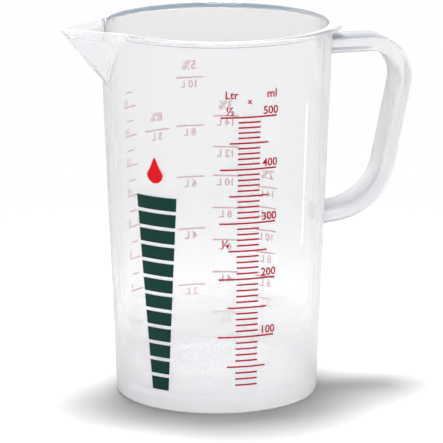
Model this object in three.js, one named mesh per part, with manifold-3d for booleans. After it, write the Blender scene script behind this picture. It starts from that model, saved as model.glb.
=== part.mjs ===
// A half-litre measuring jug moulded in one piece from translucent polypropylene.
// Its tapered wall carries a beaded rim, a V-shaped pouring spout and, opposite it, a closed strap handle.
// The floor is raised inside a standing ring. Millimetres, +Z up, handle towards +X, spout towards -X.
import * as THREE from "three";
import { mergeVertices } from "three/addons/utils/BufferGeometryUtils.js";
import Module from "manifold-3d";

// Body: radii are those of the outer wall, taken down to the base plane and up to the rim plane.
const HEIGHT = 141;
const RIM_RADIUS = 43.4;
const BASE_RADIUS = 37.8;
const WALL = 1.5;

// Base: a standing ring with the floor raised inside it.
const RING_WIDTH = 2.3;
const RING_DEPTH = 4.4;
const RING_EDGE_RADIUS = 1.2;
const FLOOR = 1.9;
const FLOOR_CORNER_RADIUS = 3;

// Rim: an outward bead that stops at each side of the spout and swells into a lip over the handle.
const BEAD_HEIGHT = 2.3;
const BEAD_PROUD = 1.3;
const RIM_EDGE_RADIUS = 0.6;
const BEAD_END_ANGLE = 25;
const BEAD_FADE_ANGLE = 2;
const THUMB_LIP_PROUD = 3.1;
const THUMB_LIP_ANGLE = 14;
const THUMB_LIP_FADE_ANGLE = 38;

// Spout: a cone whose point lies on the wall. Its two flanks meet in a rounded ridge.
const SPOUT_REACH = 60.4;
const SPOUT_DEPTH = 21.5;
const SPOUT_FLANK_ANGLE = 50.6;
const SPOUT_TIP_ROUNDING = 3;
const SPOUT_BLEND = 0.9;

// Handle: a strap in the plane of the spout, with a level top arm, a leaning grip and a lower arm.
const HANDLE_WIDTH = 15;
const HANDLE_THICKNESS = 6.1;
const HANDLE_EDGE_RADIUS = 1.9;
const HANDLE_DROP = 7;
const HANDLE_DEPTH = 71.6;
const GRIP_LEAN = 11.4;
const FOOT_SLOPE = 8.5;
const GRIP_REACH = 74.8;
const TOP_BEND_RADIUS = 16.5;
const FOOT_BEND_RADIUS = 26.4;

// Facets.
const COLUMNS = 96;
const COLUMN_CROWDING = 0.5;
const ARC_STEPS = 4;
const BEAD_STEPS = 7;
const SPOUT_ROWS = 9;
const BEND_STEPS = 14;
const EDGE_STEPS = 3;

// Coordinates closer together than this are taken as one.
const NEARLY = 1e-3;

const RADIANS = Math.PI / 180;

const wallRadius = (z) => BASE_RADIUS + ((RIM_RADIUS - BASE_RADIUS) * z) / HEIGHT;

// Points of a round corner in the profile, about (r, z), between two angles in degrees.
function corner(r, z, radius, from, to, steps = ARC_STEPS) {
  return Array.from({ length: steps + 1 }, (_, i) => {
    const angle = (from + ((to - from) * i) / steps) * RADIANS;
    return new THREE.Vector2(r + radius * Math.cos(angle), z + radius * Math.sin(angle));
  });
}

// Points of a straight wall between two heights, in equal steps.
function wallRows(radiusAt, from, to, rows) {
  return Array.from({ length: rows + 1 }, (_, i) => {
    const z = from + ((to - from) * i) / rows;
    return new THREE.Vector2(radiusAt(z), z);
  });
}

// The outside of the bead, a half oval from its lower edge to the rim plane.
function beadSection() {
  const points = [];
  for (let i = 1; i <= BEAD_STEPS; i++) {
    const angle = (-90 + (180 * i) / BEAD_STEPS) * RADIANS;
    const z = HEIGHT - BEAD_HEIGHT / 2 + (BEAD_HEIGHT / 2) * Math.sin(angle);
    points.push(new THREE.Vector2(wallRadius(z) + BEAD_PROUD * Math.cos(angle), z));
  }
  return points;
}

// The jug's section, from the middle of the underside round the rim to the middle of the floor.
function jugSection() {
  const ringInside = BASE_RADIUS - RING_WIDTH;
  const floorTop = RING_DEPTH + FLOOR;
  const innerRadius = (z) => wallRadius(z) - WALL;
  const spoutFoot = HEIGHT - SPOUT_DEPTH;
  const beadFoot = HEIGHT - BEAD_HEIGHT;
  const cornerTop = floorTop + FLOOR_CORNER_RADIUS;
  const edgeCentre = wallRadius(RING_EDGE_RADIUS) - RING_EDGE_RADIUS;
  const rimCentre = innerRadius(HEIGHT) + RIM_EDGE_RADIUS;
  return [
    new THREE.Vector2(0, RING_DEPTH),
    new THREE.Vector2(ringInside, RING_DEPTH),
    new THREE.Vector2(ringInside, 0),
    ...corner(edgeCentre, RING_EDGE_RADIUS, RING_EDGE_RADIUS, -90, 0),
    ...wallRows(wallRadius, spoutFoot, beadFoot, SPOUT_ROWS),
    ...beadSection(),
    ...corner(rimCentre, HEIGHT - RIM_EDGE_RADIUS, RIM_EDGE_RADIUS, 90, 180),
    ...wallRows(innerRadius, beadFoot, spoutFoot, SPOUT_ROWS),
    ...corner(innerRadius(cornerTop) - FLOOR_CORNER_RADIUS, cornerTop, FLOOR_CORNER_RADIUS, 0, -90),
    new THREE.Vector2(0, floorTop),
  ];
}

// The larger of two lengths, with a small round blend where they are nearly equal.
function blendedMax(a, b) {
  const share = Math.max(SPOUT_BLEND - Math.abs(a - b), 0) / SPOUT_BLEND;
  return Math.max(a, b) + (share * share * SPOUT_BLEND) / 4;
}

// How far the spout's ridge leans out for each unit of height.
function ridgeSlope() {
  return (SPOUT_REACH - wallRadius(HEIGHT - SPOUT_DEPTH)) / SPOUT_DEPTH;
}

// How far up the spout's inner face is moved, so that its flanks are as thick as the wall.
function innerLift() {
  const flankSlope = ridgeSlope() * Math.cos(SPOUT_FLANK_ANGLE * RADIANS);
  return (WALL * Math.hypot(1, flankSlope)) / flankSlope;
}

// How far the spout's flanks reach from the axis at a height, at an angle from the spout's middle.
function spoutRadius(angle, z) {
  const spoutFoot = HEIGHT - SPOUT_DEPTH;
  const ridge = wallRadius(spoutFoot) + ridgeSlope() * (z - spoutFoot);
  const flank = SPOUT_FLANK_ANGLE * RADIANS;
  const rounding = SPOUT_TIP_ROUNDING * RADIANS;
  const turned = Math.hypot(angle, rounding) - rounding;
  return turned > flank ? 0 : (ridge * Math.cos(flank)) / Math.cos(turned - flank);
}

// How far the bead stands out, as a share of its own size, at an angle from the spout's middle:
// nothing in the spout, its full size past the spout's ends, and more over the handle.
function beadShare(angle) {
  const fromSpout = Math.abs(angle) / RADIANS;
  const past = THREE.MathUtils.smoothstep(fromSpout, BEAD_END_ANGLE, BEAD_END_ANGLE + BEAD_FADE_ANGLE);
  const lipStart = 180 - THUMB_LIP_ANGLE - THUMB_LIP_FADE_ANGLE;
  const lip = THREE.MathUtils.smoothstep(fromSpout, lipStart, lipStart + THUMB_LIP_FADE_ANGLE);
  return past + (lip * THUMB_LIP_PROUD) / BEAD_PROUD;
}

// Crowds the columns towards the spout, pares the bead off there and pulls both faces of the wall out.
function pullSpout(geometry) {
  const position = geometry.getAttribute("position");
  for (let i = 0; i < position.count; i++) {
    const [x, y, z] = [position.getX(i), position.getY(i), position.getZ(i)];
    const radius = Math.hypot(x, y);
    const even = Math.atan2(-y, -x);
    const angle = even - COLUMN_CROWDING * Math.sin(even);
    const wall = wallRadius(z);
    const outside = radius > wall - WALL / 2;
    const face = outside ? wall : wall - WALL;
    const lift = outside ? 0 : innerLift();
    let pulled = radius > wall ? wall + (radius - wall) * beadShare(angle) : radius;
    if (radius > BASE_RADIUS / 2 && z > HEIGHT - SPOUT_DEPTH - NEARLY) {
      pulled += blendedMax(face, spoutRadius(angle, z - lift)) - face;
    }
    position.setXY(i, -pulled * Math.cos(angle), -pulled * Math.sin(angle));
  }
  return geometry;
}

// A round bend between two straight runs of an outline: the arc's centre for the runs' meeting point.
function bendCentre(meeting, before, after, radius) {
  const turn = Math.acos(THREE.MathUtils.clamp(before.dot(after), -1, 1));
  const toCentre = after.clone().sub(before).normalize();
  return meeting.clone().addScaledVector(toCentre, radius / Math.cos(turn / 2));
}

// The handle seen from the side, as one closed outline in the X-Z plane.
function handleOutline() {
  const lean = GRIP_LEAN * RADIANS;
  const slope = FOOT_SLOPE * RADIANS;
  const down = new THREE.Vector2(-Math.sin(lean), -Math.cos(lean));
  const back = new THREE.Vector2(-Math.cos(slope), -Math.sin(slope));
  const top = HEIGHT - HANDLE_DROP;
  const foot = top - HANDLE_DEPTH;
  const root = wallRadius(top) - WALL;
  const footRoot = wallRadius(foot) - WALL;
  // The grip's outer face leaves the top bend, whose farthest point is the handle's reach.
  const topCentre = new THREE.Vector2(GRIP_REACH - TOP_BEND_RADIUS, top - TOP_BEND_RADIUS);
  const outwards = new THREE.Vector2(Math.cos(lean), -Math.sin(lean));
  const gripStart = topCentre.clone().addScaledVector(outwards, TOP_BEND_RADIUS);
  const footStart = new THREE.Vector2(footRoot, foot);
  // Where the grip's outer face and the lower arm's outer face would meet.
  const gap = gripStart.clone().sub(footStart);
  const turn = down.x * back.y - down.y * back.x;
  const reach = (gap.x * back.y - gap.y * back.x) / turn;
  const meeting = gripStart.clone().addScaledVector(down, -reach);
  const footCentre = bendCentre(meeting, down, back, FOOT_BEND_RADIUS);
  const innerTop = TOP_BEND_RADIUS - HANDLE_THICKNESS;
  const innerFoot = FOOT_BEND_RADIUS - HANDLE_THICKNESS;
  const outline = new THREE.Shape();
  outline.moveTo(root, top);
  outline.lineTo(topCentre.x, top);
  outline.absarc(topCentre.x, topCentre.y, TOP_BEND_RADIUS, Math.PI / 2, -lean, true);
  outline.absarc(footCentre.x, footCentre.y, FOOT_BEND_RADIUS, -lean, -Math.PI / 2 + slope, true);
  outline.lineTo(footRoot, foot);
  outline.lineTo(footRoot, foot + HANDLE_THICKNESS / Math.cos(slope));
  outline.absarc(footCentre.x, footCentre.y, innerFoot, -Math.PI / 2 + slope, -lean, false);
  outline.absarc(topCentre.x, topCentre.y, innerTop, -lean, Math.PI / 2, false);
  outline.lineTo(root, top - HANDLE_THICKNESS);
  return outline;
}

// The strap: the side outline given its width, with round edges.
function handleStrap() {
  const strap = new THREE.ExtrudeGeometry(handleOutline(), {
    depth: HANDLE_WIDTH - 2 * HANDLE_EDGE_RADIUS,
    curveSegments: BEND_STEPS,
    bevelSize: HANDLE_EDGE_RADIUS,
    bevelOffset: -HANDLE_EDGE_RADIUS,
    bevelThickness: HANDLE_EDGE_RADIUS,
    bevelSegments: EDGE_STEPS,
  });
  strap.rotateX(Math.PI / 2);
  strap.translate(0, HANDLE_WIDTH / 2 - HANDLE_EDGE_RADIUS, 0);
  return strap;
}

const wasm = await Module();
wasm.setup();

// A closed three.js geometry as a solid that can be joined and cut.
function solidOf(geometry) {
  const bare = geometry.clone();
  bare.deleteAttribute("normal");
  bare.deleteAttribute("uv");
  const merged = mergeVertices(bare, NEARLY / 10);
  const index = Array.from(merged.index.array);
  const kept = [];
  for (let i = 0; i < index.length; i += 3) {
    const [a, b, c] = index.slice(i, i + 3);
    if (a !== b && b !== c && c !== a) kept.push(a, b, c);
  }
  return new wasm.Manifold(
    new wasm.Mesh({
      numProp: 3,
      vertProperties: new Float32Array(merged.getAttribute("position").array),
      triVerts: new Uint32Array(kept),
    }),
  );
}

// A solid as a three.js geometry.
function geometryOf(solid) {
  const mesh = solid.getMesh();
  const geometry = new THREE.BufferGeometry();
  geometry.setAttribute("position", new THREE.BufferAttribute(mesh.vertProperties, 3));
  geometry.setIndex(new THREE.BufferAttribute(mesh.triVerts, 1));
  geometry.computeVertexNormals();
  return geometry;
}

// A closed profile turned about the +Z axis.
function turned(points) {
  const lathe = new THREE.LatheGeometry(points, COLUMNS);
  lathe.rotateX(Math.PI / 2);
  return lathe;
}

// The room inside the middle of the wall, which the handle's roots don't enter.
function wallCore() {
  const middleRadius = (z) => wallRadius(z) - WALL / 2;
  return turned([
    new THREE.Vector2(0, 0),
    new THREE.Vector2(middleRadius(0), 0),
    new THREE.Vector2(middleRadius(HEIGHT), HEIGHT),
    new THREE.Vector2(0, HEIGHT),
  ]);
}

const body = solidOf(pullSpout(turned(jugSection())));
const handle = solidOf(handleStrap()).subtract(solidOf(wallCore()));

const NATURAL_WHITE = 0xeef0f2;
const polypropylene = new THREE.MeshStandardMaterial({
  color: NATURAL_WHITE,
  roughness: 0.25,
  metalness: 0,
  transparent: true,
  opacity: 0.5,
});

const jug = new THREE.Mesh(geometryOf(body.add(handle)), polypropylene);
jug.name = "jug";
// The middle of the jug's footprint stands at the origin.
jug.position.x = (SPOUT_REACH - GRIP_REACH) / 2;

const measuringJug = new THREE.Group();
measuringJug.add(jug);

export default measuringJug;
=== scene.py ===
"""Looks of a half-litre measuring jug: translucent moulding, screen-printed scales, studio and camera."""

import logging
import math
from dataclasses import dataclass, field
from enum import Enum
from functools import partial

import bpy
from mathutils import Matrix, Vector


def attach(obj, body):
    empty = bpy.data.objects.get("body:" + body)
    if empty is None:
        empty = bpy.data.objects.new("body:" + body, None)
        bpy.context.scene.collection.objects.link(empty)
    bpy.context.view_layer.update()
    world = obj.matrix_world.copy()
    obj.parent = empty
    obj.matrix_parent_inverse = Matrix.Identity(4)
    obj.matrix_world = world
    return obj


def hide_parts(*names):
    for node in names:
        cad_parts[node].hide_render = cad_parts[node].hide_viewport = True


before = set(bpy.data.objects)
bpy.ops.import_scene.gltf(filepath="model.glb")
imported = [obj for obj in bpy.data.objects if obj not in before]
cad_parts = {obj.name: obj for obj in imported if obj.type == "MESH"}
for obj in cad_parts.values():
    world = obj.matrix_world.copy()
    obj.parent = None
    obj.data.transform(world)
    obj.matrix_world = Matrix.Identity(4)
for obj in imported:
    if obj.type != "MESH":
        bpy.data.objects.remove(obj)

LOG = logging.getLogger("jug")
BODY = "root"
NODE = "jug"
MM = 0.001
WHITE = (1.0, 1.0, 1.0, 1.0)
# Numbers of the Mix node's two colour inputs and of its colour output.
MIX_A, MIX_B, MIX_OUT = 6, 7, 2

Piece = bpy.types.Object
Material = bpy.types.Material
Tree = bpy.types.NodeTree
Socket = bpy.types.NodeSocket
Span = tuple[float, float]
Triple = tuple[float, float, float]


def deselect() -> None:
    """Leaves edit mode and selects nothing, so that an operator acts on new work only."""
    if bpy.context.object and bpy.context.object.mode != "OBJECT":
        bpy.ops.object.mode_set(mode="OBJECT")
    bpy.ops.object.select_all(action="DESELECT")


def make_active(piece: Piece) -> None:
    """Selects one piece alone and makes it the active one.

    Args:
        piece: The object to work on.
    """
    deselect()
    piece.select_set(True)
    bpy.context.view_layer.objects.active = piece


def face_outwards() -> None:
    """Turns all normals of the mesh in edit mode outwards, and leaves edit mode."""
    bpy.ops.mesh.select_all(action="SELECT")
    bpy.ops.mesh.normals_make_consistent(inside=False)
    bpy.ops.object.mode_set(mode="OBJECT")


def apply_modifier(piece: Piece, modifier: bpy.types.Modifier) -> None:
    """Applies one modifier to a piece's mesh."""
    make_active(piece)
    bpy.ops.object.modifier_apply(modifier=modifier.name)


def join(pieces: list[Piece], name: str) -> Piece:
    """Joins meshes into one piece.

    Args:
        pieces: The objects to join. The first one keeps its place.
        name: The name of the joined piece.

    Returns:
        The joined object.
    """
    deselect()
    for piece in pieces:
        piece.select_set(True)
    bpy.context.view_layer.objects.active = pieces[0]
    if len(pieces) > 1:
        bpy.ops.object.join()
    pieces[0].name = name
    pieces[0].data.name = name
    return pieces[0]


def smoothstep(value: float, low: float, high: float) -> float:
    """Rises smoothly from 0 at low to 1 at high."""
    share = min(max((value - low) / (high - low), 0), 1)
    return share * share * (3 - 2 * share)


def linear(hex_colour: str) -> tuple[float, float, float, float]:
    """Turns an sRGB hex colour into the linear one that shaders use.

    Args:
        hex_colour: A colour such as "#C41E3A".

    Returns:
        Red, green, blue and alpha, linear.
    """
    parts = [int(hex_colour.lstrip("#")[i : i + 2], 16) / 255 for i in (0, 2, 4)]
    rgb = [c / 12.92 if c <= 0.04045 else ((c + 0.055) / 1.055) ** 2.4 for c in parts]
    return (*rgb, 1.0)


def add_node(
    tree: Tree,
    kind: str,
    settings: dict[str, object] | None = None,
    values: dict[str | int, object] | None = None,
    links: dict[str | int, Socket] | None = None,
) -> bpy.types.Node:
    """Adds a node with its settings, socket values and incoming links.

    Args:
        tree: The node tree that takes the node.
        kind: The node's type after the word ShaderNode, such as "MixShader".
        settings: Attributes of the node itself.
        values: Input values by socket name or number.
        links: Output sockets to join to inputs, by socket name or number.

    Returns:
        The new node.
    """
    node = tree.nodes.new("ShaderNode" + kind)
    for key, value in (settings or {}).items():
        setattr(node, key, value)
    for key, value in (values or {}).items():
        node.inputs[key].default_value = value
    for key, socket in (links or {}).items():
        tree.links.new(socket, node.inputs[key])
    return node


def new_material(name: str) -> tuple[Material, Tree]:
    """Makes an empty node material.

    Args:
        name: The material's name.

    Returns:
        The material and its node tree.
    """
    material = bpy.data.materials.new(name)
    material.use_nodes = True
    material.node_tree.nodes.clear()
    return material, material.node_tree


def followed_by_eye(tree: Tree) -> Socket:
    """Tells the rays that the eye follows, straight, off gloss or through plastic, from the rest.

    Args:
        tree: The node tree that takes the nodes.

    Returns:
        A socket that is 1 for those rays and 0 for rays that only carry light.
    """
    ray = add_node(tree, "LightPath")
    seen = ray.outputs["Is Camera Ray"]
    for kind in ("Is Transmission Ray", "Is Glossy Ray"):
        links = {0: seen, 1: ray.outputs[kind]}
        seen = add_node(tree, "Math", {"operation": "MAXIMUM"}, links=links).outputs[0]
    return seen


@dataclass(frozen=True)
class Wall:
    """The jug's tapered wall, on which the moulding and every print are laid out. Millimetres."""

    axis_x: float = -7.2
    height: float = 141.0
    rim_radius: float = 43.4
    base_radius: float = 37.8
    thickness: float = 1.5
    floor_top: float = 6.3

    def radius(self, z: float) -> float:
        """Outer radius at a height."""
        return self.base_radius + (self.rim_radius - self.base_radius) * z / self.height

    def inner(self, z: float) -> float:
        """Inner radius at a height."""
        return self.radius(z) - self.thickness

    def height_of(self, millilitres: float) -> float:
        """Height that a volume of water fills the jug to.

        Args:
            millilitres: The volume.

        Returns:
            The height above the base, in millimetres.
        """
        slope = (self.rim_radius - self.base_radius) / self.height
        cubed = self.inner(self.floor_top) ** 3 + 3 * slope * millilitres * 1000 / math.pi
        return (cubed ** (1 / 3) - self.inner(0)) / slope

    def wrap(self, piece: Piece, centre_deg: float, lift: float) -> None:
        """Lays a flat piece round the wall: its X runs round the jug, its Y up, its Z outwards.

        Args:
            piece: A mesh drawn flat, in metres.
            centre_deg: Where its X = 0 comes, in degrees about the jug's axis from +X.
            lift: How far its Z = 0 stands off the wall, in millimetres.
        """
        for vertex in piece.data.vertices:
            u, v, w = (c / MM for c in vertex.co)
            angle = math.radians(centre_deg) + u / self.radius(v)
            r = self.radius(v) + w + lift
            vertex.co = Vector((self.axis_x + r * math.cos(angle), r * math.sin(angle), v)) * MM


@dataclass(frozen=True)
class ClarifiedPolypropylene:
    """Injection-moulded natural polypropylene, about 1.5 mm thick, from a polished mould.

    The eye gets a cool white haze with the far wall's print showing faintly through both walls, soft
    window-like gloss, a steel-blue band on the far rim's bead that is a painted reflection of the room's
    dark, and painted shade on the strap's top.
    """

    ior: float = 1.49
    roughness: float = 0.035
    thick_roughness: float = 0.06
    # The clear resin, the haze in the wall and in thick parts, the painted shade on the strap's top, and
    # the painted reflection on the far rim's bead.
    body: str = "#FEFEFF"
    haze: str = "#F0F0F1"
    thick_haze: str = "#E5E4E7"
    strap_top_haze: str = "#B4B4BA"
    rim_depth: str = "#2B5170"
    # What a wall lets through to the floor, and what it lets through once inside the plastic.
    shadow_tint: str = "#727276"
    inner_shadow_tint: str = "#EFEFF0"
    # Share of the light that the haze takes: seen square on, along the wall, and in the thickest parts.
    milkiness: float = 0.18
    slanted_milkiness: float = 0.6
    thick_milkiness: float = 0.75
    slant_from: float = 0.45
    back_lit_share: float = 0.2
    # How thick each part counts, from 0 for a single wall to 1.
    spout_share: float = 0.6
    strap_share: float = 0.3
    foot_share: float = 0.68
    # Where each part begins and is full, in millimetres: along X from the axis ...
    handle_side_mm: Span = (-1.0, 1.0)
    past_spout_mm: Span = (-39.5, -38.5)
    # ... outwards from the wall ...
    off_wall_mm: Span = (0.2, 1.2)
    bead_proud_mm: Span = (0.1, 0.3)
    # ... up from the rim's top ...
    below_rim_mm: Span = (-3.0, -4.0)
    bead_mm: Span = (-2.4, -2.1)
    # The strap's top, which takes painted shade, lies this far below the rim's top.
    strap_top_mm: Span = (-50.0, -25.0)
    # ... and up from the floor.
    foot_mm: Span = (-1.0, 31.0)
    # Upright share of the normal, over which the painted shade on the strap's top begins.
    upward: Span = (0.1, 0.8)
    # Slow unevenness of the moulded wall, and the flow lines that run along the strap.
    ripple_mm: float = 9.0
    ripple_depth_mm: float = 0.02
    flow_mm: float = 2.6
    flow_depth_mm: float = 0.6
    # Unevenness of the mould's polish, drawn coarser than the real one so that it shows.
    grain_mm: float = 0.9
    grain_noise: Span = (0.3, 0.7)
    grain_spread: float = 0.15
    # Clouding of the resin, finer than it shows, which breaks up the upper edge of the foot's haze.
    clouding_mm: float = 0.25
    clouding_reach_mm: float = 20.0

    def masks(self, tree: Tree, place: Socket, wall: Wall) -> dict[str, Socket]:
        """Finds the parts several walls thick, which scatter more light, and the rim's bead.

        Args:
            tree: The material's node tree.
            place: Object coordinates.
            wall: The wall that the strap and the bead stand out from.

        Returns:
            Sockets by name: "thick" is how thick the strap, the spout or the foot is, "strap" leaves
            out the foot, "bead" is the rim's bead, where the painted reflection goes, and "high" is the
            height of the strap's top, where the painted shade goes.
        """
        add = partial(add_node, tree)
        centred = add("VectorMath", values={1: (-wall.axis_x * MM, 0, 0)}, links={0: place})
        x, y, z = add("SeparateXYZ", links={0: centred.outputs[0]}).outputs
        flat = add("CombineXYZ", links={0: x, 1: y})
        radius = add("VectorMath", {"operation": "LENGTH"}, links={0: flat.outputs[0]})
        skin = add(
            "MapRange",
            {"clamp": False},
            {"From Max": wall.height * MM, "To Min": wall.base_radius * MM, "To Max": wall.rim_radius * MM},
            {"Value": z},
        )
        stands_out = {0: radius.outputs["Value"], 1: skin.outputs["Result"]}
        proud = add("Math", {"operation": "SUBTRACT"}, links=stands_out).outputs[0]
        ramps = {}
        for name, socket, origin, span in (
            ("handle_side", x, 0, self.handle_side_mm),
            ("past_spout", x, 0, self.past_spout_mm),
            ("off_wall", proud, 0, self.off_wall_mm),
            ("bead_proud", proud, 0, self.bead_proud_mm),
            ("below_rim", z, wall.height, self.below_rim_mm),
            ("bead", z, wall.height, self.bead_mm),
            ("high", z, wall.height, self.strap_top_mm),
        ):
            low, high = ((origin + edge) * MM for edge in span)
            ramp = add("MapRange", None, {"From Min": low, "From Max": high}, {"Value": socket})
            ramps[name] = ramp.outputs["Result"]
        shares = {"To Min": self.spout_share, "To Max": self.strap_share}
        share = add("MapRange", None, shares, {"Value": ramps["handle_side"]}).outputs["Result"]
        masks = {"high": ramps["high"]}
        for name, mask, *cuts in (
            ("strap", ramps["off_wall"], ramps["below_rim"], share),
            ("bead", ramps["bead"], ramps["bead_proud"], ramps["past_spout"]),
        ):
            for cut in cuts:
                mask = add("Math", {"operation": "MULTIPLY"}, links={0: mask, 1: cut}).outputs[0]
            masks[name] = mask
        clouding_size = {"Scale": 1 / (self.clouding_mm * MM), "Detail": 0.0}
        clouding = add("TexNoise", None, clouding_size, {"Vector": place})
        uneven_height = add(
            "Math",
            {"operation": "MULTIPLY_ADD"},
            {1: self.clouding_reach_mm * MM},
            {0: clouding.outputs["Fac"], 2: z},
        )
        low, high = ((wall.floor_top + self.clouding_reach_mm / 2 + edge) * MM for edge in self.foot_mm)
        foot = add(
            "MapRange",
            {"interpolation_type": "SMOOTHSTEP"},
            {"From Min": low, "From Max": high, "To Min": self.foot_share, "To Max": 0.0},
            {"Value": uneven_height.outputs[0]},
        )
        either = {0: masks["strap"], 1: foot.outputs["Result"]}
        masks["thick"] = add("Math", {"operation": "MAXIMUM"}, links=either).outputs[0]
        return masks

    def relief(self, tree: Tree, place: Socket, strap: Socket) -> Socket:
        """Makes the wall's slow ripple and the flow lines along the strap.

        Args:
            tree: The material's node tree.
            place: Object coordinates.
            strap: The mask of the strap and the spout.

        Returns:
            The uneven surface's normal.
        """
        add = partial(add_node, tree)
        ripple_size = {"Scale": 1 / (self.ripple_mm * MM), "Detail": 1.0, "Roughness": 0.4}
        ripple = add("TexNoise", None, ripple_size, {"Vector": place})
        across = add("SeparateXYZ", links={0: place}).outputs["Y"]
        flow_size = {"Scale": 1 / (self.flow_mm * MM), "Detail": 1.0}
        flow = add("TexNoise", {"noise_dimensions": "1D"}, flow_size, {"W": across})
        on_strap = add("Math", {"operation": "MULTIPLY"}, links={0: flow.outputs["Fac"], 1: strap})
        height = add(
            "Math",
            {"operation": "MULTIPLY_ADD"},
            {1: self.flow_depth_mm / self.ripple_depth_mm},
            {0: on_strap.outputs[0], 2: ripple.outputs["Fac"]},
        )
        depth = {"Strength": 1.0, "Distance": self.ripple_depth_mm * MM}
        return add("Bump", None, depth, {"Height": height.outputs[0]}).outputs["Normal"]

    def polish(self, tree: Tree, place: Socket, strap: Socket) -> Socket:
        """Makes the roughness, a little uneven from the mould's grain and higher on the strap.

        Args:
            tree: The material's node tree.
            place: Object coordinates.
            strap: The mask of the strap and the spout.

        Returns:
            The roughness.
        """
        add = partial(add_node, tree)
        grain_size = {"Scale": 1 / (self.grain_mm * MM), "Detail": 2.0}
        grain = add("TexNoise", None, grain_size, {"Vector": place})
        levels = {"To Min": self.roughness, "To Max": self.thick_roughness}
        level = add("MapRange", None, levels, {"Value": strap})
        spread = {
            "From Min": self.grain_noise[0],
            "From Max": self.grain_noise[1],
            "To Min": 1 - self.grain_spread,
            "To Max": 1 + self.grain_spread,
        }
        uneven = add("MapRange", None, spread, {"Value": grain.outputs["Fac"]})
        both = {0: level.outputs["Result"], 1: uneven.outputs["Result"]}
        return add("Math", {"operation": "MULTIPLY"}, links=both).outputs[0]

    def cloud(self, tree: Tree, masks: dict[str, Socket], normal: Socket) -> Socket:
        """Makes the haze, which scatters light back and a little of it onwards, with painted shade on the
        strap's upward-facing top.

        Args:
            tree: The material's node tree.
            masks: What masks() returns.
            normal: The geometry's own normal.

        Returns:
            The haze's shader.
        """
        add = partial(add_node, tree)
        # Upward faces of the strap's top get a darker haze colour: painted shade.
        upright = add("SeparateXYZ", links={0: normal}).outputs["Z"]
        upward = add(
            "MapRange",
            values={"From Min": self.upward[0], "From Max": self.upward[1]},
            links={"Value": upright, "To Max": masks["high"]},
        )
        on_strap = {"Value": masks["strap"], "To Max": upward.outputs["Result"]}
        painted_shade_share = add("MapRange", None, {"From Max": self.strap_share}, on_strap)
        shallow = {MIX_A: linear(self.haze), MIX_B: linear(self.thick_haze)}
        colour = add("Mix", {"data_type": "RGBA"}, shallow, {0: masks["thick"]})
        haze_with_painted_shade = add(
            "Mix",
            {"data_type": "RGBA"},
            {MIX_B: linear(self.strap_top_haze)},
            {0: painted_shade_share.outputs["Result"], MIX_A: colour.outputs[MIX_OUT]},
        )
        back, onwards = (
            add(kind, links={"Color": haze_with_painted_shade.outputs[MIX_OUT]}).outputs[0]
            for kind in ("BsdfDiffuse", "BsdfTranslucent")
        )
        return add("MixShader", None, {0: self.back_lit_share}, {1: back, 2: onwards}).outputs[0]

    def share_of_haze(self, tree: Tree, thick: Socket) -> Socket:
        """Makes the share of haze, which grows along the line of sight through the wall.

        Args:
            tree: The material's node tree.
            thick: The mask of the parts several walls thick.

        Returns:
            The share, from 0 for clear resin to 1.
        """
        add = partial(add_node, tree)
        slant = add("LayerWeight", values={"Blend": 0.5}).outputs["Facing"]
        along_wall = add(
            "MapRange",
            {"interpolation_type": "SMOOTHSTEP"},
            {"From Min": self.slant_from, "To Min": self.milkiness, "To Max": self.slanted_milkiness},
            {"Value": slant},
        )
        thin = {"Value": thick, "To Min": along_wall.outputs["Result"]}
        return add("MapRange", None, {"To Max": self.thick_milkiness}, thin).outputs["Result"]

    def make(self, wall: Wall) -> Material:
        """Builds the node material.

        Args:
            wall: The wall that the material covers.

        Returns:
            The material.
        """
        material, tree = new_material("polypropylene_moulded_natural")
        add = partial(add_node, tree)
        place = add("TexCoord").outputs["Object"]
        masks = self.masks(tree, place, wall)
        geometry = add("NewGeometry").outputs
        # The far rim's bead, seen from inside, is tinted steel-blue: a painted reflection of the room's
        # dark.
        leaving = {0: masks["bead"], 1: geometry["Backfacing"]}
        far_bead_painted_reflection = add("Math", {"operation": "MULTIPLY"}, links=leaving).outputs[0]
        resin_and_painted_reflection = {MIX_A: linear(self.body), MIX_B: linear(self.rim_depth)}
        tint = add("Mix", {"data_type": "RGBA"}, resin_and_painted_reflection, {0: far_bead_painted_reflection})
        clear = add(
            "BsdfPrincipled",
            values={"IOR": self.ior, "Transmission Weight": 1.0},
            links={
                "Base Color": tint.outputs[MIX_OUT],
                "Normal": self.relief(tree, place, masks["strap"]),
                "Roughness": self.polish(tree, place, masks["strap"]),
            },
        )
        haze = self.cloud(tree, masks, geometry["Normal"])
        share = self.share_of_haze(tree, masks["thick"])
        resin = add("MixShader", links={0: share, 1: clear.outputs[0], 2: haze})
        # Rays that only carry light pass straight through, dimmed: the jug then casts a soft grey shadow.
        ray = add("LightPath").outputs
        tints = {MIX_A: linear(self.shadow_tint), MIX_B: linear(self.inner_shadow_tint)}
        shade = add("Mix", {"data_type": "RGBA"}, tints, {0: ray["Transmission Depth"]})
        passing = add("BsdfTransparent", links={"Color": shade.outputs[MIX_OUT]})
        light_rays = {0: ray["Is Shadow Ray"], 1: ray["Is Diffuse Ray"]}
        carries_light = add("Math", {"operation": "MAXIMUM"}, links=light_rays)
        looks = {0: carries_light.outputs[0], 1: resin.outputs[0], 2: passing.outputs[0]}
        surface = add("MixShader", links=looks)
        add("OutputMaterial", links={"Surface": surface.outputs[0]})
        return material


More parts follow.
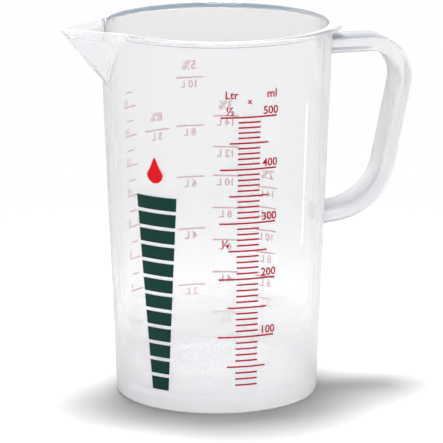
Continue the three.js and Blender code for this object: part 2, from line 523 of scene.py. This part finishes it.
@dataclass(frozen=True)
class ScreenInk:
    """Screen-printed ink on polypropylene: flat, opaque, a little uneven where the mesh left less of it."""

    name: str
    colour: str
    thin_colour: str
    roughness: float = 0.42
    specular: float = 0.12
    # Unevenness that the screen's threads leave, drawn coarser than the real one so that it shows.
    mesh_mm: float = 0.5
    mesh_depth_mm: float = 0.01
    mesh_strength: float = 0.3

    def make(self) -> Material:
        """Builds the node material.

        Returns:
            The material.
        """
        material, tree = new_material(self.name)
        add = partial(add_node, tree)
        place = add("TexCoord").outputs["Object"]
        mesh_size = {"Scale": 1 / (self.mesh_mm * MM), "Detail": 3.0}
        cover = add("TexNoise", None, mesh_size, {"Vector": place}).outputs["Fac"]
        inks = {MIX_A: linear(self.colour), MIX_B: linear(self.thin_colour)}
        tint = add("Mix", {"data_type": "RGBA"}, inks, {0: cover})
        depth = {"Strength": self.mesh_strength, "Distance": self.mesh_depth_mm * MM}
        relief = add("Bump", None, depth, {"Height": cover})
        ink = add(
            "BsdfPrincipled",
            values={"Roughness": self.roughness, "Specular IOR Level": self.specular},
            links={"Base Color": tint.outputs[MIX_OUT], "Normal": relief.outputs["Normal"]},
        )
        add("OutputMaterial", links={"Surface": ink.outputs[0]})
        return material


@dataclass
class Moulding:
    """The one-piece moulding: tapered body on a ring, beaded rim, spout and strap handle. Millimetres."""

    wall: Wall
    finish: ClarifiedPolypropylene = ClarifiedPolypropylene()
    columns: int = 360
    row_step: float = 4.0
    fine_row_step: float = 0.9
    ring_width: float = 2.3
    ring_depth: float = 4.4
    ring_edge: float = 1.2
    ring_steps: int = 8
    ring_chamfer: float = 0.25
    recess_edge: float = 0.5
    recess_steps: int = 4
    floor_corner: float = 3.0
    floor_steps: int = 10
    floor_middle: float = 1.0
    bead_height: float = 2.3
    bead_proud: float = 1.25
    # A point that stands off the wall by more than this lies on the bead.
    bead_least: float = 0.01
    bead_steps: int = 16
    bead_end_deg: float = 25.0
    bead_fade_deg: float = 4.0
    lip_proud: float = 3.1
    lip_deg: float = 14.0
    lip_fade_deg: float = 38.0
    rim_edge: float = 0.6
    rim_steps: int = 6
    spout_reach: float = 60.3
    spout_depth: float = 21.5
    spout_flank_deg: float = 50.6
    spout_ridge_rounding: float = 1.6
    spout_blend: float = 1.4
    spout_inner_lift: float = 3.2
    handle_width: float = 15.0
    handle_thickness: float = 6.1
    handle_edge: float = 1.9
    handle_edge_steps: int = 6
    handle_top: float = 134.0
    handle_reach: float = 74.8
    root_inset: float = 0.4
    grip_lean_deg: float = 11.4
    foot_slope_deg: float = 8.5
    foot_height: float = 62.4
    foot_inset: float = 0.5
    top_bend: float = 16.5
    foot_bend: float = 26.4
    arm_steps: int = 4
    grip_steps: int = 6
    bend_steps: int = 20
    weld: float = 0.002
    sharp_deg: float = 40.0

    def arc(self, centre: Span, radius: float, start: float, end: float, steps: int) -> list[Span]:
        """Radii and heights along a round corner. Angles are in degrees, 0 outwards and 90 up."""
        angles = [math.radians(start + (end - start) * i / steps) for i in range(steps + 1)]
        return [(centre[0] + radius * math.cos(a), centre[1] + radius * math.sin(a)) for a in angles]

    def rows(self, inner: bool, start: float, end: float, step: float) -> list[Span]:
        """Points up or down one face of the wall.

        Args:
            inner: True for the inner face.
            start: First height.
            end: Last height.
            step: Largest distance between rows.

        Returns:
            Pairs of radius and height.
        """
        radius = self.wall.inner if inner else self.wall.radius
        count = math.ceil(abs(end - start) / step)
        heights = [start + (end - start) * i / count for i in range(count + 1)]
        return [(radius(z), z) for z in heights]

    def bead(self) -> list[Span]:
        """Points of the half-round bead outside the rim, from its foot up.

        Returns:
            Pairs of radius and height.
        """
        half = self.bead_height / 2
        points = []
        for i in range(1, self.bead_steps + 1):
            angle = math.radians(180 * i / self.bead_steps - 90)
            z = self.wall.height - half + half * math.sin(angle)
            points.append((self.wall.radius(z) + self.bead_proud * math.cos(angle), z))
        return points

    def profile(self) -> list[Span]:
        """The moulding's section, from the ring's inner foot round the rim to the middle of the floor.

        Returns:
            Pairs of radius and height.
        """
        wall, edge = self.wall, self.recess_edge
        ring_inside = wall.base_radius - self.ring_width
        ring_outside = wall.radius(self.ring_edge) - self.ring_edge
        bead_foot = wall.height - self.bead_height
        spout_foot = wall.height - self.spout_depth - 3 * self.spout_blend
        rim = (wall.inner(wall.height) + self.rim_edge, wall.height - self.rim_edge)
        corner_top = wall.floor_top + self.floor_corner
        corner = (wall.inner(corner_top) - self.floor_corner, corner_top)
        return [
            (ring_inside - edge, self.ring_depth),
            *self.arc((ring_inside - edge, self.ring_depth - edge), edge, 90, 0, self.recess_steps)[1:],
            (ring_inside, self.ring_chamfer),
            (ring_inside + self.ring_chamfer, 0.0),
            *self.arc((ring_outside, self.ring_edge), self.ring_edge, -90, 0, self.ring_steps),
            *self.rows(False, self.ring_edge, spout_foot, self.row_step)[1:],
            *self.rows(False, spout_foot, bead_foot, self.fine_row_step)[1:],
            *self.bead(),
            *self.arc(rim, self.rim_edge, 90, 180, self.rim_steps),
            *self.rows(True, rim[1], spout_foot, self.fine_row_step)[1:],
            *self.rows(True, spout_foot, corner_top, self.row_step)[1:],
            *self.arc(corner, self.floor_corner, 0, -90, self.floor_steps)[1:],
            (wall.inner(corner_top) / 2, wall.floor_top),
            (self.floor_middle, wall.floor_top),
        ]

    def turned_shell(self) -> Piece:
        """Raises the round body ring by ring from a disc, and closes its floor.

        Returns:
            The round body, with no spout yet.
        """
        profile = self.profile()
        centre_x = self.wall.axis_x * MM
        deselect()
        bpy.ops.mesh.primitive_circle_add(
            vertices=self.columns,
            radius=profile[0][0] * MM,
            fill_type="TRIFAN",
            location=(centre_x, 0, profile[0][1] * MM),
        )
        shell = bpy.context.object
        bpy.ops.object.transform_apply()
        bpy.ops.object.mode_set(mode="EDIT")
        bpy.ops.mesh.select_mode(type="EDGE")
        bpy.ops.mesh.select_all(action="DESELECT")
        bpy.ops.mesh.select_non_manifold()
        for (r0, z0), (r1, z1) in zip(profile, profile[1:]):
            bpy.ops.mesh.extrude_region_move(TRANSFORM_OT_translate={"value": (0, 0, (z1 - z0) * MM)})
            bpy.ops.transform.resize(value=(r1 / r0, r1 / r0, 1), center_override=(centre_x, 0, z1 * MM))
        bpy.ops.mesh.extrude_region_move()
        bpy.ops.mesh.merge(type="CENTER")
        face_outwards()
        return shell

    def pull(self, piece: Piece, name: str, amounts: dict[int, float]) -> None:
        """Pulls vertices along X, each by its own amount.

        Args:
            piece: The mesh to pull.
            name: The name of its vertex group.
            amounts: Millimetres along X by vertex number, all of one sign.
        """
        longest = max(amounts.values(), key=abs)
        group = piece.vertex_groups.new(name=name)
        for index, amount in amounts.items():
            group.add([index], amount / longest, "REPLACE")
        modifier = piece.modifiers.new(name, "DISPLACE")
        modifier.direction = "X"
        modifier.mid_level = 0
        modifier.strength = longest * MM
        modifier.vertex_group = name
        apply_modifier(piece, modifier)
        piece.vertex_groups.remove(piece.vertex_groups[name])

    def spout_front(self, y: float, z: float) -> float:
        """How far the spout's V reaches from the axis.

        Args:
            y: Distance to one side of the ridge.
            z: Height.

        Returns:
            The reach towards the tip, in millimetres.
        """
        foot = self.wall.height - self.spout_depth
        slope = (self.spout_reach - self.wall.radius(foot)) / self.spout_depth
        ridge = self.wall.radius(foot) + slope * (z - foot)
        side = math.hypot(y, self.spout_ridge_rounding) - self.spout_ridge_rounding
        return ridge - side * math.tan(math.radians(self.spout_flank_deg))

    def blended(self, a: float, b: float) -> float:
        """The larger of two lengths, rounded over where they meet."""
        share = max(self.spout_blend - abs(a - b), 0) / self.spout_blend
        return max(a, b) + share * share * self.spout_blend / 4

    def from_axis(self, shell: Piece) -> list[tuple[int, float, float, float]]:
        """Vertex numbers and places in millimetres, with X from the jug's axis."""
        axis = self.wall.axis_x
        return [(v.index, v.co.x / MM - axis, v.co.y / MM, v.co.z / MM) for v in shell.data.vertices]

    def trim_bead(self, shell: Piece) -> None:
        """Swells the bead into a lip over the handle, and pares it off at the spout.

        Args:
            shell: The round body.
        """
        wall = self.wall
        lip_start = 180 - self.lip_deg - self.lip_fade_deg
        lip: dict[int, float] = {}
        pare: dict[int, float] = {}
        for index, x, y, z in self.from_axis(shell):
            proud = math.hypot(x, y) - wall.radius(z)
            if z <= wall.height - self.bead_height or proud <= self.bead_least:
                continue
            from_spout = abs(math.degrees(math.atan2(y, -x)))
            past = smoothstep(from_spout, self.bead_end_deg, self.bead_end_deg + self.bead_fade_deg)
            over = smoothstep(from_spout, lip_start, lip_start + self.lip_fade_deg)
            if over > 0:
                lip[index] = over * self.lip_proud * proud / self.bead_proud
            if past < 1:
                pare[index] = proud * (1 - past)
        self.pull(shell, "lip", lip)
        self.pull(shell, "bead_end", pare)

    def pull_spout(self, shell: Piece) -> None:
        """Pulls the V spout out of the wall, with its inner face a wall's thickness behind.

        Args:
            shell: The round body.
        """
        wall = self.wall
        lowest = wall.height - self.spout_depth - 2 * self.spout_blend
        spout: dict[int, float] = {}
        for index, x, y, z in self.from_axis(shell):
            if z < lowest or x > 0 or math.atan2(abs(y), -x) > math.radians(self.spout_flank_deg):
                continue
            outside = math.hypot(x, y) > wall.radius(z) - wall.thickness / 2
            front = self.spout_front(y, z if outside else z - self.spout_inner_lift)
            swell = self.blended(-x, front) + x
            if swell > 0:
                spout[index] = -swell
        self.pull(shell, "spout", spout)

    def strap(self) -> Piece:
        """Extrudes the handle's rounded section along its arms, bends and grip.

        Returns:
            The closed strap, with both ends inside the wall.
        """
        wall, axis = self.wall, self.wall.axis_x
        lean, slope = math.radians(self.grip_lean_deg), math.radians(self.foot_slope_deg)
        root_x = axis + wall.inner(self.handle_top) + self.root_inset
        foot_x = axis + wall.inner(self.foot_height) + self.foot_inset
        top_centre = (axis + self.handle_reach - self.top_bend, self.handle_top - self.top_bend)
        grip_start = (
            top_centre[0] + self.top_bend * math.cos(lean),
            top_centre[1] - self.top_bend * math.sin(lean),
        )
        down = (-math.sin(lean), -math.cos(lean))
        back = (-math.cos(slope), -math.sin(slope))
        inwards = (-math.cos(lean), math.sin(lean))
        # The grip's line and the lower arm's line meet at the corner that the foot bend rounds off.
        gap = (grip_start[0] - axis - wall.inner(self.foot_height), grip_start[1] - self.foot_height)
        run = -(gap[0] * back[1] - gap[1] * back[0]) / (down[0] * back[1] - down[1] * back[0])
        foot_turn = math.pi / 2 - lean - slope
        grip = run - self.foot_bend * math.tan(foot_turn / 2)
        foot_centre = (
            grip_start[0] + down[0] * grip + inwards[0] * self.foot_bend,
            grip_start[1] + down[1] * grip + inwards[1] * self.foot_bend,
        )
        deselect()
        bpy.ops.mesh.primitive_plane_add(
            size=1,
            rotation=(0, math.pi / 2, 0),
            location=(root_x * MM, 0, (self.handle_top - self.handle_thickness / 2) * MM),
        )
        strap = bpy.context.object
        strap.scale = (self.handle_thickness * MM, self.handle_width * MM, 1)
        bpy.ops.object.transform_apply()
        bpy.ops.object.mode_set(mode="EDIT")
        bpy.ops.mesh.select_all(action="SELECT")
        bpy.ops.mesh.bevel(offset=self.handle_edge * MM, segments=self.handle_edge_steps, affect="VERTICES")
        self.run_on((top_centre[0] - root_x, 0), self.arm_steps)
        self.bend(top_centre, math.pi / 2 + lean)
        self.run_on((down[0] * grip, down[1] * grip), self.grip_steps)
        self.bend(foot_centre, foot_turn)
        last = (self.selected_x(strap) - foot_x) / math.cos(slope)
        self.run_on((back[0] * last, back[1] * last), self.arm_steps)
        bpy.ops.transform.resize(value=(0, 1, 1), center_override=(foot_x * MM, 0, 0))
        face_outwards()
        return strap

    def selected_x(self, piece: Piece) -> float:
        """Mean X of the selected vertices.

        Args:
            piece: A piece in edit mode.

        Returns:
            The mean, in millimetres.
        """
        piece.update_from_editmode()
        chosen = [vertex.co.x / MM for vertex in piece.data.vertices if vertex.select]
        return sum(chosen) / len(chosen)

    def run_on(self, step: Span, steps: int) -> None:
        """Extrudes the selected end straight on.

        Args:
            step: The whole run along X and Z, in millimetres.
            steps: Number of equal extrusions.
        """
        move = (step[0] * MM / steps, 0, step[1] * MM / steps)
        for _ in range(steps):
            bpy.ops.mesh.extrude_region_move(TRANSFORM_OT_translate={"value": move})

    def bend(self, centre: Span, turn: float) -> None:
        """Extrudes the selected end round a centre, towards the jug's foot.

        Args:
            centre: X and Z of the bend's centre, in millimetres.
            turn: The whole turn in radians.
        """
        for _ in range(self.bend_steps):
            bpy.ops.mesh.extrude_region_move()
            bpy.ops.transform.rotate(
                value=-turn / self.bend_steps,
                orient_axis="Y",
                center_override=(centre[0] * MM, 0, centre[1] * MM),
            )

    def build(self) -> Piece:
        """Models, joins and dresses the moulding.

        Returns:
            The finished piece, which stands for the frame's node.
        """
        shell = self.turned_shell()
        self.trim_bead(shell)
        self.pull_spout(shell)
        strap = self.strap()
        union = shell.modifiers.new("strap_on_wall", "BOOLEAN")
        union.operation = "UNION"
        union.solver = "EXACT"
        union.object = strap
        apply_modifier(shell, union)
        bpy.data.objects.remove(strap, do_unlink=True)
        make_active(shell)
        bpy.ops.object.mode_set(mode="EDIT")
        bpy.ops.mesh.select_all(action="SELECT")
        bpy.ops.mesh.remove_doubles(threshold=self.weld * MM)
        face_outwards()
        bpy.ops.object.shade_smooth_by_angle(angle=math.radians(self.sharp_deg))
        shell = join([shell], "jug_moulding")
        shell.data.materials.clear()
        shell.data.materials.append(self.finish.make(self.wall))
        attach(shell, BODY)
        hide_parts(NODE)
        return shell


class Align(Enum):
    """Which point of a label its place names."""

    LEFT = "LEFT"
    CENTRE = "CENTER"
    RIGHT = "RIGHT"


class Tick(Enum):
    """Lengths of the volume marks along the wall, in millimetres."""

    HUNDRED = 21.6
    FIFTY = 14.7
    TEN = 8.4


@dataclass
class Printer:
    """Lays lines and figures of ink on the wall. Millimetres."""

    wall: Wall
    centre_deg: float
    lift: float = 0.05
    thickness: float = 0.03
    boldness: float = 0.085
    # Height of a figure as a share of the font's size.
    figure_share: float = 0.72
    curve_steps: int = 3
    least_cuts: int = 4
    drawn: list[Piece] = field(default_factory=list)

    def rectangle(self, at: Span, size: Span, cuts: tuple[int, int]) -> Piece:
        """Draws a flat rectangle.

        Args:
            at: Place of its middle, along the wall and up.
            size: Its width and height.
            cuts: Number of faces along and up.

        Returns:
            The rectangle, selected and active.
        """
        deselect()
        bpy.ops.mesh.primitive_grid_add(x_subdivisions=cuts[0], y_subdivisions=cuts[1], size=1)
        piece = bpy.context.object
        piece.scale = (size[0] * MM, size[1] * MM, 1)
        piece.location = (at[0] * MM, at[1] * MM, 0)
        bpy.ops.object.transform_apply()
        return piece

    def lay(self, piece: Piece) -> None:
        """Thickens a flat piece to a film of ink and wraps it round the wall.

        Args:
            piece: The flat piece, selected and active.
        """
        bpy.ops.object.mode_set(mode="EDIT")
        bpy.ops.mesh.select_all(action="SELECT")
        bpy.ops.mesh.extrude_region_move(TRANSFORM_OT_translate={"value": (0, 0, self.thickness * MM)})
        face_outwards()
        self.wall.wrap(piece, self.centre_deg, self.lift)
        self.drawn.append(piece)

    def line(self, z: float, length: float, weight: float) -> None:
        """Prints one level line, of a length along the wall and a thickness as seen."""
        cuts = (max(self.least_cuts, round(length)), 1)
        self.lay(self.rectangle((0, z), (length, weight), cuts))

    def words(
        self, text: str, z: float, height: float, shift: float = 0.0, align: Align = Align.CENTRE
    ) -> None:
        """Prints one label.

        Args:
            text: Figures or a unit.
            z: Height of the label's foot.
            height: Height of a figure.
            shift: Distance of the label from the layout's middle, along the wall.
            align: Which point of the label its place names.
        """
        deselect()
        bpy.ops.object.text_add()
        label = bpy.context.object
        label.data.body = text
        label.data.align_x = align.value
        label.data.size = height * MM / self.figure_share
        label.data.extrude = self.thickness * MM / 2
        label.data.offset = self.boldness * MM
        label.data.resolution_u = self.curve_steps
        bpy.ops.object.convert(target="MESH")
        label = bpy.context.object
        label.location = (shift * MM, z * MM, self.thickness * MM / 2)
        bpy.ops.object.transform_apply()
        self.wall.wrap(label, self.centre_deg, self.lift)
        self.drawn.append(label)

    def finish(self, name: str, ink: Material, slot: str = "screen_ink_red") -> Piece:
        """Joins what is drawn into one dressed piece.

        Args:
            name: The piece's name.
            ink: Its material.
            slot: The record's material slot meant for the ink; not used.

        Returns:
            The printed piece.
        """
        piece = join(self.drawn, name)
        self.drawn = []
        piece.data.materials.clear()
        piece.data.materials.append(ink)
        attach(piece, BODY)
        return piece


@dataclass(frozen=True)
class ScaleLabel:
    """A fraction, a unit or the sign between them on the volume scale. Millimetres."""

    text: str
    millilitres: int
    above: float
    height: float
    shift: float
    align: Align = Align.CENTRE


@dataclass
class VolumeScale:
    """The red volume scale that faces the viewer, in tens of millilitres up to half a litre."""

    wall: Wall
    ink: Material
    centre_deg: float = -88.4
    first: int = 20
    last: int = 500
    step: int = 10
    weight: float = 0.62
    figure: float = 2.95
    figure_above: float = 0.85
    figure_past_line: float = 0.5
    print_shift: float = 0.2
    labels: tuple[ScaleLabel, ...] = (
        ScaleLabel("½", 500, 0.9, 3.1, -7.2),
        ScaleLabel("¼", 250, 1.4, 3.0, -8.3),
        ScaleLabel("Ltr", 500, 7.0, 2.9, -9.3, Align.LEFT),
        ScaleLabel("ml", 500, 7.0, 3.1, 10.8, Align.RIGHT),
        ScaleLabel("x", 500, 5.0, 2.2, 0.0),
    )

    def level(self, millilitres: int) -> float:
        """Height of a mark on the wall."""
        return self.wall.height_of(millilitres) + self.print_shift

    def build(self) -> Piece:
        """Prints the marks, the figures and the units.

        Returns:
            The printed piece.
        """
        printer = Printer(self.wall, self.centre_deg)
        for volume in range(self.first, self.last + 1, self.step):
            kind = Tick.HUNDRED if volume % 100 == 0 else Tick.FIFTY if volume % 50 == 0 else Tick.TEN
            printer.line(self.level(volume), kind.value, self.weight)
        right = Tick.HUNDRED.value / 2 + self.figure_past_line
        for volume in range(100, self.last + 1, 100):
            foot = self.level(volume) + self.figure_above
            printer.words(str(volume), foot, self.figure, right, Align.RIGHT)
        for label in self.labels:
            foot = self.level(label.millilitres) + label.above
            printer.words(label.text, foot, label.height, label.shift, label.align)
        return printer.finish("volume_scale_print", self.ink)


@dataclass(frozen=True)
class MixingColumn:
    """One column of the mixing scale: a share of concentrate, and the litres each mark is for."""

    centre_deg: float
    width: float
    title: str
    title_z: float
    marks: dict[int, float]


@dataclass
class MixingScales:
    """The columns printed on the far wall, seen faintly through both walls. Millimetres."""

    wall: Wall
    ink: Material
    weight: float = 0.6
    figure: float = 2.9
    figure_below: float = 1.0
    title: float = 3.5
    columns: tuple[MixingColumn, ...] = (
        MixingColumn(89.7, 11.2, "5%", 115.4, {10: 112.2, 8: 93.4, 6: 73.4, 4: 53.0, 2: 30.8}),
        MixingColumn(109.7, 11.4, "8%", 96.3, {5: 92.8}),
        MixingColumn(
            69.8, 10.4, "3%", 99.6, {14: 97.0, 12: 84.9, 10: 73.6, 8: 61.0, 6: 48.3, 4: 35.6, 2: 19.7}
        ),
        MixingColumn(45.2, 9.0, "2%", 73.4, {14: 70.0, 12: 62.1, 10: 53.1, 8: 44.4, 6: 35.0, 4: 26.3}),
    )
    ounce_ml: float = 28.41
    ounce_count: int = 17
    ounce_centre_deg: float = 130.0
    ounce_line: float = 8.0
    ounce_short_line: float = 4.5
    ounce_figure: float = 2.3
    ounce_figure_above: float = 0.8
    ounce_figure_shift: float = 3.6

    def build(self) -> Piece:
        """Prints the mixing columns and the ladder of fluid ounces.

        Returns:
            The printed piece.
        """
        printer = Printer(self.wall, 0.0)
        for column in self.columns:
            printer.centre_deg = column.centre_deg
            printer.words(column.title, column.title_z, self.title)
            for litres, z in column.marks.items():
                printer.line(z, column.width, self.weight)
                printer.words(f"{litres} L", z - self.figure_below - self.figure, self.figure)
        printer.centre_deg = self.ounce_centre_deg
        for count in range(1, self.ounce_count + 1):
            z = self.wall.height_of(count * self.ounce_ml)
            even = count % 2 == 0
            printer.line(z, self.ounce_line if even else self.ounce_short_line, self.weight)
            if even:
                foot = z + self.ounce_figure_above
                printer.words(str(count), foot, self.ounce_figure, self.ounce_figure_shift, Align.RIGHT)
        return printer.finish("mixing_scales_print", self.ink)


@dataclass
class LevelMotif:
    """A plain ornament: dark green bars that widen upwards, with a red drop above. Millimetres."""

    wall: Wall
    bar_ink: Material
    drop_ink: Material
    centre_deg: float = -138.0
    foot_z: float = 8.0
    top_z: float = 82.0
    bars: int = 12
    bar_cuts: tuple[int, int] = (14, 2)
    gap: float = 1.3
    narrow: float = 7.0
    wide: float = 17.5
    drop_z: float = 90.5
    drop_size: float = 7.0
    drop_corners: int = 40
    # Shares of its size that the drop's upper half loses in width and gains in height at the point.
    drop_pinch: float = 0.55
    drop_stretch: float = 0.75

    def width(self, z: float) -> float:
        """Width of the bars at a height."""
        return self.narrow + (self.wide - self.narrow) * (z - self.foot_z) / (self.top_z - self.foot_z)

    def bar(self, printer: Printer, low: float, high: float) -> None:
        """Prints one bar whose upper edge is longer than its lower one.

        Args:
            printer: Takes the drawn piece.
            low: Height of the bar's foot.
            high: Height of the bar's top.
        """
        foot_width = self.width(low)
        piece = printer.rectangle((0, (low + high) / 2), (foot_width, high - low), self.bar_cuts)
        for vertex in piece.data.vertices:
            share = (vertex.co.y / MM - low) / (high - low)
            vertex.co.x *= 1 + share * (self.width(high) / foot_width - 1)
        printer.lay(piece)

    def drop(self, printer: Printer) -> None:
        """Prints the drop: a disc drawn out to a point at the top.

        Args:
            printer: Takes the drawn piece.
        """
        radius = self.drop_size / 2 * MM
        deselect()
        bpy.ops.mesh.primitive_circle_add(vertices=self.drop_corners, radius=radius, fill_type="TRIFAN")
        piece = bpy.context.object
        for vertex in piece.data.vertices:
            share = max(vertex.co.y / radius, 0)
            vertex.co.x *= 1 - self.drop_pinch * share
            vertex.co.y *= 1 + self.drop_stretch * share * share
        piece.location = (0, self.drop_z * MM, 0)
        bpy.ops.object.transform_apply()
        printer.lay(piece)

    def build(self) -> list[Piece]:
        """Prints the bars and the drop.

        Returns:
            The two printed pieces.
        """
        printer = Printer(self.wall, self.centre_deg)
        pitch = (self.top_z - self.foot_z + self.gap) / self.bars
        for i in range(self.bars):
            low = self.foot_z + i * pitch
            self.bar(printer, low, low + pitch - self.gap)
        bars = printer.finish("level_motif_bars_print", self.bar_ink, "screen_ink_dark_green")
        self.drop(printer)
        return [bars, printer.finish("level_motif_drop_print", self.drop_ink)]


@dataclass(frozen=True)
class Lamp:
    """A soft white lamp: its place and its width and height in metres, and its power in watts."""

    name: str
    at: Triple
    size: Span
    watts: float


@dataclass
class Studio:
    """Pale floor, white surround, soft lamps and the camera."""

    camera_mm: Triple = (-343.1, -1253.6, 368.62)
    pitch_deg: float = 13.185
    heading_deg: float = 15.083
    lens_mm: float = 287.64
    sensor_mm: float = 36.0
    clip_m: Span = (0.05, 20.0)
    floor_size_m: float = 8.0
    floor_colour: str = "#F2F1F0"
    floor_roughness: float = 0.8
    floor_lift: float = 0.02
    # Distances over which the floor fades to pure white.
    floor_white_m: Span = (0.1, 0.32)
    surround: float = 0.28
    surround_colour: str = "#FAFAFA"
    ceiling_colour: str = "#41607A"
    # How high the room begins to darken and is darkest: 0 is level and 1 straight up.
    ceiling_rise: Span = (0.08, 0.35)
    lamps_aim_m: Triple = (0.0, 0.0, 0.07)
    lamps: tuple[Lamp, ...] = (
        Lamp("overhead", (-0.005, 0.1, 0.9), (0.27, 0.27), 10.6),
        Lamp("front_window", (-0.5, -1.3, 0.2), (0.8, 0.8), 12.0),
        Lamp("right_window", (1.25, -0.35, 0.25), (0.8, 0.8), 5.0),
        Lamp("strip", (0.211, -0.031, 0.036), (0.012, 0.06), 0.008),
    )

    def place_camera(self) -> None:
        """Sets the camera at the viewing angle of the photograph."""
        camera = bpy.data.objects.new("camera", bpy.data.cameras.new("camera"))
        camera.data.lens = self.lens_mm
        camera.data.sensor_width = self.sensor_mm
        camera.data.clip_start, camera.data.clip_end = self.clip_m
        camera.location = Vector(self.camera_mm) * MM
        camera.rotation_euler = (math.radians(90 - self.pitch_deg), 0, math.radians(-self.heading_deg))
        bpy.context.collection.objects.link(camera)
        bpy.context.scene.camera = camera

    def light_world(self) -> None:
        """Surrounds the scene with a white that eye, gloss and clear plastic see, and a softer light."""
        world = bpy.data.worlds.new("surround")
        world.use_nodes = True
        tree = world.node_tree
        tree.nodes.clear()
        add = partial(add_node, tree)
        # A ray that has met a dull surface only carries light, whatever it meets next.
        bounces = add("LightPath").outputs["Diffuse Depth"]
        direct = add("Math", {"operation": "LESS_THAN"}, {1: 0.5}, {0: bounces})
        both = {0: followed_by_eye(tree), 1: direct.outputs[0]}
        in_sight = add("Math", {"operation": "MULTIPLY"}, links=both)
        soft = {"Color": linear(self.surround_colour), "Strength": self.surround}
        light = add("Background", values=soft)
        place = add("TexCoord").outputs["Generated"]
        height = add("SeparateXYZ", links={0: place}).outputs["Z"]
        steep = add(
            "MapRange",
            {"interpolation_type": "SMOOTHSTEP"},
            {"From Min": self.ceiling_rise[0], "From Max": self.ceiling_rise[1]},
            {"Value": height},
        )
        colours = {MIX_A: WHITE, MIX_B: linear(self.ceiling_colour)}
        room = add("Mix", {"data_type": "RGBA"}, colours, {0: steep.outputs["Result"]})
        white = add("Background", None, {"Strength": 1.0}, {"Color": room.outputs[MIX_OUT]})
        looks = {0: in_sight.outputs[0], 1: light.outputs[0], 2: white.outputs[0]}
        mixed = add("MixShader", links=looks)
        add("OutputWorld", links={"Surface": mixed.outputs[0]})
        bpy.context.scene.world = world

    def hang_lamp(self, lamp: Lamp) -> None:
        """Adds a soft lamp that points at the jug's middle and is seen in gloss only.

        Args:
            lamp: The lamp's sizes and place.
        """
        data = bpy.data.lights.new(lamp.name, "AREA")
        data.shape = "RECTANGLE"
        data.size, data.size_y = lamp.size
        data.energy = lamp.watts
        light = bpy.data.objects.new(lamp.name, data)
        light.visible_camera = False
        light.visible_transmission = False
        light.location = lamp.at
        aim = Vector(self.lamps_aim_m) - light.location
        light.rotation_euler = aim.to_track_quat("-Z", "Y").to_euler()
        bpy.context.collection.objects.link(light)

    def lay_floor(self) -> None:
        """Lays a wide floor of pale paper that shows the jug's shadow and fades to white."""
        deselect()
        bpy.ops.mesh.primitive_plane_add(size=self.floor_size_m)
        floor = bpy.context.object
        floor.name = "floor"
        material, tree = new_material("floor_paper_white")
        add = partial(add_node, tree)
        dull = {"Base Color": linear(self.floor_colour), "Roughness": self.floor_roughness}
        paper = add("BsdfPrincipled", values=dull)
        glow, far = (
            add("Emission", values={"Color": WHITE, "Strength": strength})
            for strength in (self.floor_lift, 1.0)
        )
        near = add("AddShader", links={0: paper.outputs[0], 1: glow.outputs[0]})
        place = add("TexCoord").outputs["Object"]
        distance = add("VectorMath", {"operation": "LENGTH"}, links={0: place})
        fade = add(
            "MapRange",
            {"interpolation_type": "SMOOTHSTEP"},
            {"From Min": self.floor_white_m[0], "From Max": self.floor_white_m[1]},
            {"Value": distance.outputs["Value"]},
        )
        rings = {0: fade.outputs["Result"], 1: near.outputs[0], 2: far.outputs[0]}
        lit = add("MixShader", links=rings)
        looks = {0: followed_by_eye(tree), 1: paper.outputs[0], 2: lit.outputs[0]}
        mixed = add("MixShader", links=looks)
        add("OutputMaterial", links={"Surface": mixed.outputs[0]})
        floor.data.materials.append(material)

    def build(self) -> None:
        """Makes the floor, the light and the camera."""
        bpy.context.scene.view_settings.view_transform = "Standard"
        self.lay_floor()
        self.light_world()
        for lamp in self.lamps:
            self.hang_lamp(lamp)
        self.place_camera()


def main() -> None:
    """Builds the jug, its prints and the studio."""
    logging.basicConfig(level=logging.INFO, format="%(message)s")
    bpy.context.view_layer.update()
    wall = Wall()
    red = ScreenInk("screen_ink_red", "#A00426", "#A60A2C").make()
    bright_red = ScreenInk("screen_ink_bright_red", "#D40712", "#DA0E1A").make()
    green = ScreenInk("screen_ink_dark_green", "#04312C", "#0A3832").make()
    pieces = [
        Moulding(wall).build(),
        VolumeScale(wall, red).build(),
        MixingScales(wall, bright_red).build(),
        *LevelMotif(wall, green, bright_red).build(),
    ]
    Studio().build()
    for piece in pieces:
        LOG.info("%s: %d faces", piece.name, len(piece.data.polygons))


if __name__ == "__main__":
    main()
